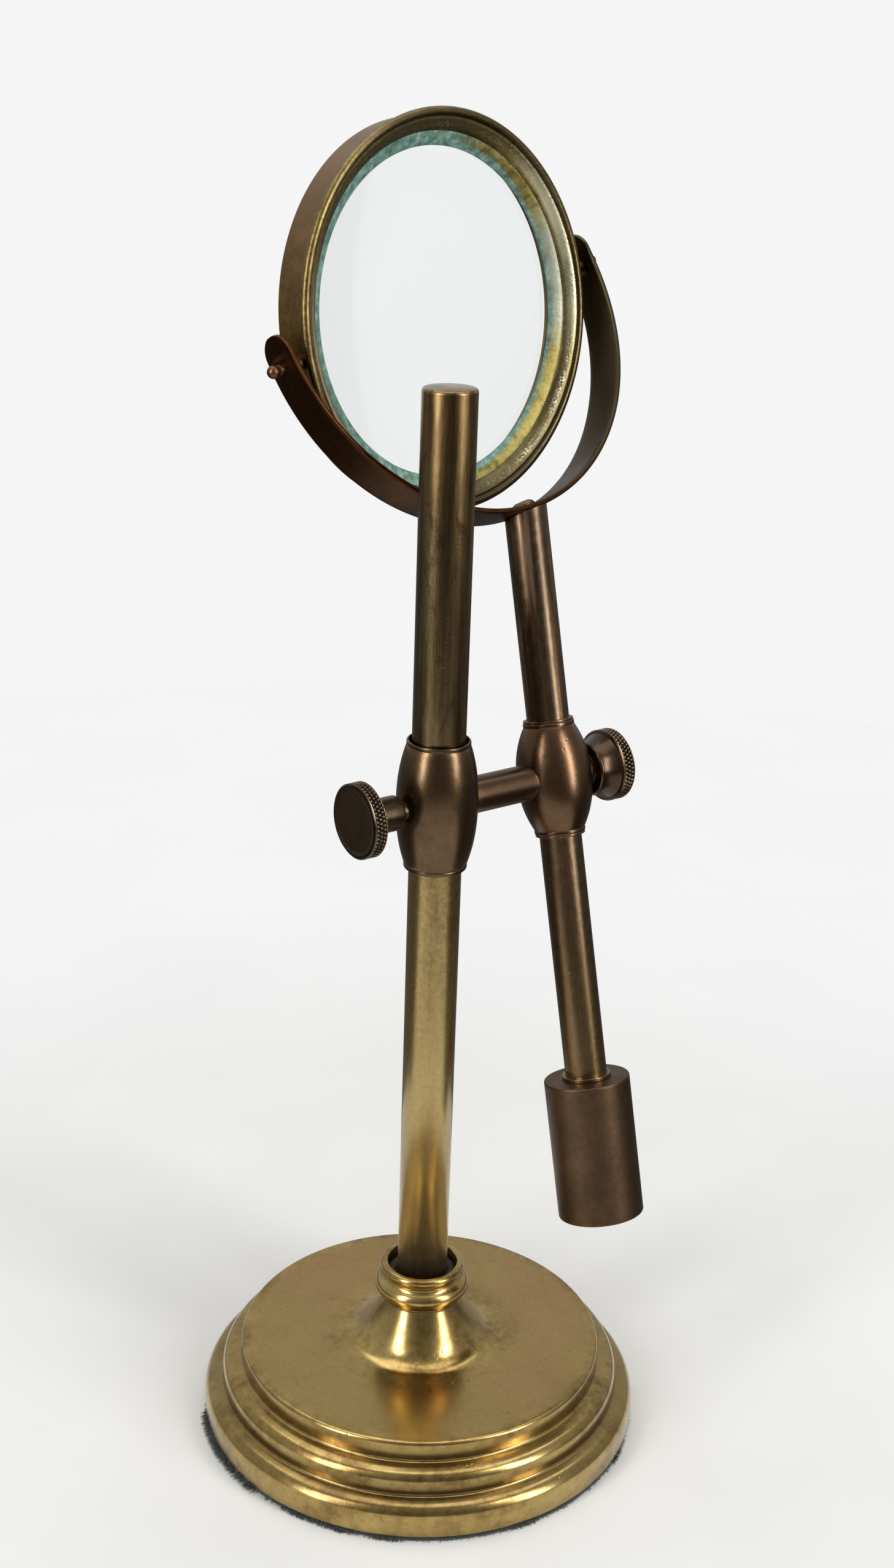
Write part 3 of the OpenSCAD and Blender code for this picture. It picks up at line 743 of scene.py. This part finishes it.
ROD_END = LINK_LEN - RECESS - 0.05
rod_profile = [(0, 8.9), (LINK_R, 8.9), (LINK_R, ROD_END), (3.0, ROD_END),
               (3.0, LINK_LEN + 3.8), (1.82, LINK_LEN + 4.0), (1.82, LINK_LEN - 4.4),
               (0, LINK_LEN - 4.5)]
rod = lathe("link_turned_rod", fillet(rod_profile, 0.15, 3, 30), bronze_dark, LINK, 96)
piece(rod, "clamp", "bronze_dark", "link_rod")


KNURL_TURNS, KNURL_PITCH, KNURL_DEPTH, KNURL_EDGE = 54, 1.05, 0.50, 0.45


def knurl(theta, r, z):
    """Two sets of crossing grooves, which leave rows of small diamonds."""
    around, along = KNURL_TURNS * theta / 2, math.pi * z / (2 * KNURL_PITCH)
    a, b = np.abs(np.sin(around + along)), np.abs(np.sin(around - along))
    cut = KNURL_DEPTH * (1 - np.minimum(a, b) ** 0.8)
    inside = (np.clip((z - KNURL_EDGE) / 0.2, 0, 1)
              * np.clip((KNOB_T - KNURL_EDGE - z) / 0.2, 0, 1))
    return np.where(r > KNOB_R - 0.05, r - cut * inside, r), z


def head_arrays():
    """A thumbscrew's head, with its back at z = 0 and a shallow dish in its front."""
    back = [(0, 0.0), (5.5, 0.0), (KNOB_R - 0.8, 0.0), (KNOB_R - 0.42, 0.12)]
    rim = [(KNOB_R, KNURL_EDGE + (KNOB_T - 2 * KNURL_EDGE) * i / 30) for i in range(31)]
    front = [(KNOB_R - 0.42, KNOB_T - 0.12), (KNOB_R - 0.75, KNOB_T), (KNOB_R - 1.3, KNOB_T),
             (KNOB_R - 1.6, KNOB_T - 0.18), (KNOB_R - 2.4, KNOB_T - 0.22), (4.0, KNOB_T - 0.2),
             (0, KNOB_T - 0.16)]
    return lathe_arrays(back + rim + front, 432, False, knurl)


post_neck = ([(0, -8.45), (2.1, -8.45), (2.5, -8.9), (2.5, -12.85), (KNOB_NECK - 0.9, -12.85)]
             + arc(KNOB_NECK - 0.9, -13.7, 0.9, 0.85, 90, 0, 8)
             + [(KNOB_NECK, -16.5), (KNOB_NECK, -19.5)]
             + arc(KNOB_NECK + 1.6, -20.9, 1.6, 1.4, 180, 265, 8)
             + [(KNOB_NECK + 1.4, -22.4), (0, -22.4)])
post_screw = joined("post_knurled_thumbscrew",
                    [lathe_arrays(fillet(post_neck, 0.2, 3, 40), 96),
                     moved(head_arrays(), shift(0, 0, -22.3) @ turn("X", 180))],
                    bronze_dark, LINK)
piece(post_screw, "post_screw", "bronze_dark", "post_thumbscrew")

NECK_Z = RECESS + WASHER_T + 0.05
BELL_Z, BELL_LEN, BELL_FLARE = 11.32, 5.6, 1.68
tilt_neck = ([(0, -2.8), (1.75, -2.8), (1.75, NECK_Z), (KNOB_NECK - 0.3, NECK_Z)]
             + [(KNOB_NECK, NECK_Z + 0.3), (KNOB_NECK, 10.92), (BELL_R - 0.4, 10.92)]
             + [(BELL_R, BELL_Z)]
             + [(BELL_R + BELL_FLARE * (k / 16) ** 1.8, BELL_Z + BELL_LEN * k / 16)
                for k in range(1, 17)]
             + [(0, 17.1)])
tilt_screw = joined("tilt_knurled_thumbscrew",
                    [lathe_arrays(fillet(tilt_neck, 0.15, 3, 40), 96),
                     moved(head_arrays(), shift(0, 0, 17))],
                    bronze_dark, LINK @ shift(0, 0, LINK_LEN))
piece(tilt_screw, "tilt_screw", "bronze_dark", "tilt_thumbscrew")

# ---------------------------------------------------------------- arm
TO_YOKE = YOKE.inverted() @ ARM


def saddle_height(x, y):
    """How far up the arm a line at (x, y) meets the back of the strap."""
    lo, hi = SEAT - 12, SEAT + 4
    for _ in range(40):
        mid = (lo + hi) / 2
        q = TO_YOKE @ Vector((x, y, mid))
        if math.hypot(q.y, q.z) > STRAP_OUT - 0.02:
            lo = mid
        else:
            hi = mid
    return lo


HUB_CORE = 9.2          # the tubes' seats end this far from the hub's middle
hub_outside = ([(TUBE_R, HUB_HALF)] + barrel_profile(HUB_HALF, HUB_R, HUB_RIM)
               + [(TUBE_R, -HUB_HALF), (TUBE_R, -HUB_CORE), (0, -HUB_CORE)])
hub_profile = fillet(hub_outside, 0.12, 3, 30) + [(0, HUB_CORE), (TUBE_R, HUB_CORE)]
hub_body = lathe("arm_turned_hub", hub_profile, bronze_dark, ARM, 144, closed=True)


def bore_hub(obj):
    """Opens the hub's cross bore: the rod's recess on one side, the thumbscrew's on the other."""
    cuts = [(LINK_R + 0.06, -15, -RECESS), (3.06, -15, 15), (LINK_R + 0.06, RECESS, 15)]
    for k, (r, z0, z1) in enumerate(cuts):
        v, f = lathe_arrays([(0, z0), (r, z0), (r, z1), (0, z1)], 96)
        tool = make_object(f"hub_cut_{k}", v, f, ARM @ turn("Y", 90), bronze_dark)
        fix_normals(tool)
        mod = obj.modifiers.new("bore", "BOOLEAN")
        mod.operation, mod.solver, mod.object = "DIFFERENCE", "EXACT", tool
        bpy.context.view_layer.objects.active = obj
        bpy.ops.object.modifier_apply(modifier=mod.name)
        bpy.data.objects.remove(tool)


bore_hub(hub_body)
piece(hub_body, "arm", "bronze_dark", "arm_hub")


def ring_arrays(r_in, r_out, z0, z1, segs=120):
    corners = [(r_in, z0), (r_out, z0), (r_out, z1), (r_in, z1)]
    return lathe_arrays(fillet(corners, 0.15, 3, 30, True), segs, True)


hub_rings = joined("hub_joint_rings",
                   [ring_arrays(TUBE_R, HUB_RIM - 0.15, HUB_HALF, HUB_HALF + 0.7),
                    ring_arrays(TUBE_R, HUB_RIM - 0.15, -HUB_HALF - 0.7, -HUB_HALF)],
                   bronze_tube, ARM)
piece(hub_rings, "arm", "bronze_tube", "hub_rings")


def upper_tube():
    """The tube from the hub to the strap, its end cut to fit the strap's back."""
    segs = 120
    levels = [9.1, 20, 35, 50, 62, None]
    verts, faces = [], []
    for r in (TUBE_R, TUBE_IN):
        for level in levels:
            for i in range(segs):
                a = 2 * math.pi * i / segs
                x, y = r * math.cos(a), r * math.sin(a)
                verts.append((x, y, saddle_height(x, y) if level is None else level))
    n = len(levels)
    for w in range(2):
        for k in range(n - 1):
            for i in range(segs):
                j = (i + 1) % segs
                a, b = (w * n + k) * segs, (w * n + k + 1) * segs
                faces.append((a + i, a + j, b + j, b + i))
    outer_end, inner_start, inner_end = (n - 1) * segs, n * segs, (2 * n - 1) * segs
    for i in range(segs):
        j = (i + 1) % segs
        faces.append((outer_end + i, outer_end + j, inner_end + j, inner_end + i))
        faces.append((i, j, inner_start + j, inner_start + i))
    obj = make_object("arm_upper_tube_skin", verts, faces, ARM, bronze_tube)
    fix_normals(obj)
    return obj


tube_top = upper_tube()
sharpen(tube_top)
piece(tube_top, "arm", "bronze_tube", "arm_upper_tube")
low_profile = [(TUBE_IN, -9.1), (TUBE_R, -9.1), (TUBE_R, -40), (TUBE_R, -WEIGHT_T),
               (TUBE_IN, -WEIGHT_T)]
tube_low = lathe("arm_lower_tube_skin", fillet(low_profile, 0.1, 2, 30, True), bronze_tube,
                 ARM, 120, True)
piece(tube_low, "arm", "bronze_tube", "arm_lower_tube")

weight_ring = joined("weight_joint_ring", [ring_arrays(TUBE_R, TUBE_R + 1.05, 0.0, 1.1)],
                     bronze_tube, ARM @ shift(0, 0, -WEIGHT_T))
piece(weight_ring, "arm", "bronze_tube", "weight_ring")
weight_profile = [(0, -15), (3.0, -15), (3.0, 0), (WEIGHT_R, 0), (WEIGHT_R, -20),
                  (WEIGHT_R, -WEIGHT_LEN), (0, -WEIGHT_LEN)]
weight = lathe("counterweight_cylinder", fillet(weight_profile, 0.55, 5, 30), bronze_weight,
               ARM @ shift(0, 0, -WEIGHT_T), 144)
piece(weight, "arm", "bronze_weight", "counterweight")

screw_profile = [(0, -9), (1.9, -9), (1.9, 0), (3.4, 0), (3.4, 0.3), (3.0, 1.0), (2.0, 1.5),
                 (0, 1.65)]
yoke_screw = lathe("yoke_round_screw", fillet(screw_profile, 0.2, 3, 30), bronze_dark,
                   YOKE @ shift(0, 0, 0.11 - STRAP_IN), 64)
piece(yoke_screw, "arm", "bronze_dark", "yoke_screw")


def yoke_strap():
    """A half ring of flat strip with rounded ends and a boss pressed out round each pin."""
    total = math.pi * YOKE_R + 2 * TONGUE
    tip_r, tip_half_width = 5.4, 5.35
    boss_r, boss_slope, boss_rise = 3.7, 2.1, 1.2
    ends = [TONGUE * (1 - math.cos(math.pi / 2 * i / 34)) for i in range(34)]
    mids = np.linspace(TONGUE, TONGUE + 9, 26)[:-1]
    rest = np.linspace(TONGUE + 9, total / 2, 70)
    half = ends + list(mids) + list(rest)
    stations = [max(s, 0.012) for s in half] + [total - max(s, 0.012) for s in half[-2::-1]]
    ring = 44
    verts, faces = [], []
    for s in stations:
        if s < TONGUE:
            centre, normal = np.array([-YOKE_R, 0, TONGUE - s]), np.array([-1.0, 0, 0])
        elif s > total - TONGUE:
            centre, normal = np.array([YOKE_R, 0, s - (total - TONGUE)]), np.array([1.0, 0, 0])
        else:
            a = (s - TONGUE) / YOKE_R
            normal = np.array([-math.cos(a), 0, -math.sin(a)])
            centre = normal * YOKE_R
        end = min(s, total - s)
        blend = min(end / 60, 1)
        width = tip_half_width + (STRAP_W / 2 - tip_half_width) * (3 * blend ** 2 - 2 * blend ** 3)
        if end < tip_r:
            width *= math.sqrt(max(1 - (1 - end / tip_r) ** 2, 1e-5))
        for k in range(ring):
            a = 2 * math.pi * k / ring
            c, d = math.cos(a), math.sin(a)
            w = math.copysign(abs(c) ** 0.22, c) * width
            thin = 0.35 + 0.65 * min(width / 1.5, 1)
            t = math.copysign(abs(d) ** 0.42, d) * (STRAP_T / 2) * thin
            from_pin = math.hypot(abs(end - TONGUE), w)
            x = np.clip((boss_r - from_pin) / boss_slope, 0, 1)
            lift = boss_rise * x * x * (3 - 2 * x)
            verts.append(tuple(centre + normal * (t + lift) + np.array([0, w, 0])))
    n = len(stations)
    for i in range(n - 1):
        for k in range(ring):
            m = (k + 1) % ring
            faces.append((i * ring + k, i * ring + m, (i + 1) * ring + m, (i + 1) * ring + k))
    faces.append(tuple(range(ring)))
    faces.append(tuple((n - 1) * ring + k for k in range(ring))[::-1])
    obj = make_object("yoke_half_ring", verts, faces, PINS, bronze_black)
    fix_normals(obj)
    return obj


strap = yoke_strap()
piece(strap, "arm", "bronze_black", "yoke_strap")

# ---------------------------------------------------------------- lens
BACK_OPENING, BACK_FLANGE = GLASS_OUT - 3.8, 1.6
band_profile = [(BAND_IN, BAND_FRONT), (RING_R, BAND_FRONT), (RING_R, 1.0), (RING_R, 4.0),
                (RING_R, BAND_BACK), (BACK_OPENING, BAND_BACK),
                (BACK_OPENING, BAND_BACK - BACK_FLANGE), (BAND_IN, BAND_BACK - BACK_FLANGE)]
band = lathe("lens_outer_band", fillet(band_profile, 0.35, 4, 30, True), brass_band,
             LENS, 256, True)
piece(band, "lens", "brass_band", "lens_band")

bezel_profile = ([(BAND_IN + 0.05, RETAINER_FRONT), (BEZEL_IN + 0.05, RETAINER_FRONT)]
                 + smooth_curve([(BEZEL_IN + 0.1, RETAINER_FRONT - 0.1), (47.3, -1.95),
                                 (48.3, -2.85), (49.3, -3.55), (50.05, -3.82), (50.45, -3.72)], 5)
                 + arc(LIP_R - 1.3, -3.2, 1.28, 1.28, 222, 360, 18)
                 + [(LIP_R - 0.2, -2.5), (LIP_R - 0.85, BAND_FRONT), (BAND_IN + 0.05, BAND_FRONT)])
bezel = lathe("lens_rolled_bezel", fillet(bezel_profile, 0.15, 3, 30, True), brass_bright,
              LENS, 288, True)
piece(bezel, "lens", "brass_bright", "lens_bezel")


def lens_face(r):
    """How far a face of the glass bulges at radius r."""
    return GLASS_SAG * (1 - (r / GLASS_OUT) ** 2)


retainer_profile = ([(BAND_IN, RETAINER_FRONT + 0.03), (BEZEL_IN, RETAINER_FRONT + 0.03),
                     (45.9, -0.72), (44.6, -0.05), (GLASS_R + 0.15, 0.95)]
                    + [(r, GLASS_FRONT - lens_face(r) - 0.04)
                       for r in np.linspace(GLASS_R + 0.02, GLASS_OUT, 8)]
                    + [(BAND_IN, GLASS_FRONT)])
retainer = lathe("lens_retaining_ring", fillet(retainer_profile, 0.3, 4, 30, True), verdigris,
                 LENS, 256, True)
piece(retainer, "lens", "verdigris", "lens_retainer")

steps = [GLASS_OUT * i / 40 for i in range(41)]
glass_profile = ([(r, GLASS_FRONT - lens_face(r)) for r in steps]
                 + [(r, GLASS_FRONT + GLASS_EDGE + lens_face(r)) for r in steps[::-1]])
lens = lathe("lens_ground_glass", glass_profile, glass, LENS, 192)
sharpen(lens, 50)
piece(lens, "lens", "glass", "lens_glass")


SPIGOT_R, SHOULDER_R, BALL_R = 1.05, 2.0, 1.72


def pin_arrays(side):
    """A pin: thin inner end in the retainer, shoulder inside the strap, ball outside it."""
    profile = ([(0, BAND_IN - 1.9), (SPIGOT_R, BAND_IN - 1.9), (SPIGOT_R, BAND_IN + 0.1),
                (PIN_R, BAND_IN + 0.1), (PIN_R, RING_R), (SHOULDER_R, RING_R),
                (SHOULDER_R, STRAP_IN - 0.3), (PIN_R, STRAP_IN - 0.3), (PIN_R, PIN_REACH - 1.6)]
               + arc(0, PIN_REACH, BALL_R, BALL_R, -60, 90, 16))
    return moved(lathe_arrays(fillet(profile, 0.1, 2, 50), 48), turn("Y", side * 90))


pins = joined("pivot_ball_pins", [pin_arrays(-1), pin_arrays(1)], copper_pin, LENS)
sharpen(pins, 45)
piece(pins, "lens", "copper_pin", "pivot_pins")

for flat in (weight, rod, post_screw, tilt_screw, hub_body, clamp, yoke_screw):
    sharpen(flat, 34)

# ---------------------------------------------------------------- stage, light and camera
PHI, PITCH, ROLL = math.radians(36.768), math.radians(20.262), math.radians(1.934)


def from_photo_frame(x, y, z):
    """The camera was solved looking along +Y; this turns it to where the link rod lies on +X."""
    return Vector((x * math.cos(PHI) + y * math.sin(PHI),
                   -x * math.sin(PHI) + y * math.cos(PHI), z))


def stage_material(name, light_at, glow_at):
    """White paper that fades with distance from the stand into an even glow."""
    g = Graph(name)
    far = g.fit(g.radius(), light_at, glow_at)
    tone = g.noise(9.0, 3.0, 0.5)
    paper = g.ramp(tone, [(0.3, srgb(210, 210, 208)), (0.7, srgb(218, 218, 216))])
    glow = g.ramp(tone, [(0.3, srgb(243, 243, 244)), (0.7, srgb(245, 245, 245))])
    return g.set(Base_Color=g.mix(far, paper, (0, 0, 0, 1)), Roughness=1.0, Specular_IOR_Level=0.0,
                 Emission_Color=glow, Emission_Strength=far)


def backdrop_material():
    """An even glow, a little brighter towards the top."""
    g = Graph("stage_backdrop_white")
    glow = g.ramp(g.fit(g.axis("Z"), -3000.0, 1500.0),
                  [(0.0, srgb(244, 244, 244)), (1.0, srgb(246, 246, 246))])
    return g.set(Base_Color=(0, 0, 0, 1), Roughness=1.0, Specular_IOR_Level=0.0,
                 Emission_Color=glow, Emission_Strength=1.0)


CAMERA_SIDE = math.radians(233.5)
MIRRORED_LEAST, MIRRORED_MORE, FLOOR_R, DOME_R = 150, 490, 700, 6000


def mirrored_reach(theta):
    """Radius of the floor that shows in the metal: wide on the camera's side, short elsewhere."""
    facing = np.clip((np.cos(theta - CAMERA_SIDE) - 0.2) / 0.5, 0, 1)
    return MIRRORED_LEAST + MIRRORED_MORE * facing * facing * (3 - 2 * facing)


def near_part(theta, r, z):
    return r * mirrored_reach(theta), z


def far_part(theta, r, z):
    reach = mirrored_reach(theta)
    return reach + (r - 1) * (FLOOR_R - reach), z


paper = stage_material("stage_paper", 90.0, 360.0)
for label, rows, warp in (("near", (0, 0.25, 0.5, 0.75, 1), near_part),
                          ("far", (1, 1.5, 2), far_part)):
    floor_v, floor_f = lathe_arrays([(r, 0) for r in rows], 96, False, warp)
    floor = make_object("stage_floor_" + label, floor_v, floor_f, WORLD, paper)
    fix_normals(floor)
    floor.visible_glossy = label == "near"

dome_v, dome_f = lathe_arrays([(DOME_R * math.cos(a), DOME_R * math.sin(a))
                               for a in np.linspace(math.pi / 2, -math.pi / 2, 40)], 64)
dome = make_object("stage_backdrop", dome_v, dome_f, WORLD, backdrop_material())
dome.visible_glossy = dome.visible_diffuse = dome.visible_shadow = False


def map_range(tree, *limits):
    node = tree.nodes.new("ShaderNodeMapRange")
    for k, value in enumerate(limits, 1):
        node.inputs[k].default_value = value
    return node


def studio_world():
    """Dim room light: darker on the camera's side, lighter behind the object and overhead."""
    world = bpy.data.worlds.new("studio")
    bpy.context.scene.world = world
    world.use_nodes = True
    tree = world.node_tree
    coord = tree.nodes.new("ShaderNodeTexCoord")
    side = tree.nodes.new("ShaderNodeVectorMath")
    side.operation = "DOT_PRODUCT"
    side.inputs[1].default_value = from_photo_frame(-0.2, 0.82, 0.5)
    level = map_range(tree, -0.6, 0.8, 0.16, 0.55)
    tree.links.new(coord.outputs["Generated"], side.inputs[0])
    tree.links.new(side.outputs["Value"], level.inputs[0])
    background = tree.nodes["Background"]
    background.inputs[0].default_value = (1.0, 0.985, 0.96, 1)
    height = tree.nodes.new("ShaderNodeSeparateXYZ")
    floor_level = map_range(tree, -0.15, 0.1, 0.25, 1.0)
    both = tree.nodes.new("ShaderNodeMath")
    both.operation = "MULTIPLY"
    tree.links.new(coord.outputs["Generated"], height.inputs[0])
    tree.links.new(height.outputs["Z"], floor_level.inputs[0])
    tree.links.new(level.outputs[0], both.inputs[0])
    tree.links.new(floor_level.outputs[0], both.inputs[1])
    tree.links.new(both.outputs[0], background.inputs[1])


studio_world()


def softbox(name, at, target, size, energy):
    light = bpy.data.lights.new(name, "AREA")
    light.shape = "RECTANGLE"
    light.size, light.size_y = size
    light.energy = energy
    obj = bpy.data.objects.new(name, light)
    bpy.context.scene.collection.objects.link(obj)
    obj.location = from_photo_frame(*at)
    aim = from_photo_frame(*target) - obj.location
    obj.rotation_euler = aim.to_track_quat("-Z", "Y").to_euler()
    obj.visible_transmission = False


softbox("soft_left", (-0.95, -0.90, 0.70), (0, 0, 0.15), (0.30, 1.2), 13)
softbox("soft_right", (1.08, -0.66, 0.75), (0, 0, 0.15), (0.30, 1.2), 14)
softbox("soft_top", (0.0, 0.3, 1.7), (0, 0, 0.1), (1.8, 1.4), 13)

SENSOR = 36.0
FOCAL = 1.3183477        # focal length over the longer side of the frame
CAMERA_AT = (0.002484, -0.512375, 0.383256)

camera = bpy.data.cameras.new("photo_camera")
camera.sensor_width = SENSOR
camera.lens = FOCAL * SENSOR
camera.clip_start, camera.clip_end = 0.01, 50
cam = bpy.data.objects.new("photo_camera", camera)
bpy.context.scene.collection.objects.link(cam)
forward = Vector((0, math.cos(PITCH), -math.sin(PITCH)))
right, up = Vector((1, 0, 0)), Vector((0, math.sin(PITCH), math.cos(PITCH)))
r2 = right * math.cos(ROLL) + up * math.sin(ROLL)
u2 = up * math.cos(ROLL) - right * math.sin(ROLL)
axes = [from_photo_frame(*v) for v in (r2, u2, -forward)]
spot = from_photo_frame(*CAMERA_AT)
cam.matrix_world = Matrix([[axes[0][i], axes[1][i], axes[2][i], spot[i]] for i in range(3)]
                          + [[0, 0, 0, 1]])
bpy.context.scene.camera = cam
bpy.context.scene.view_settings.view_transform = "Standard"
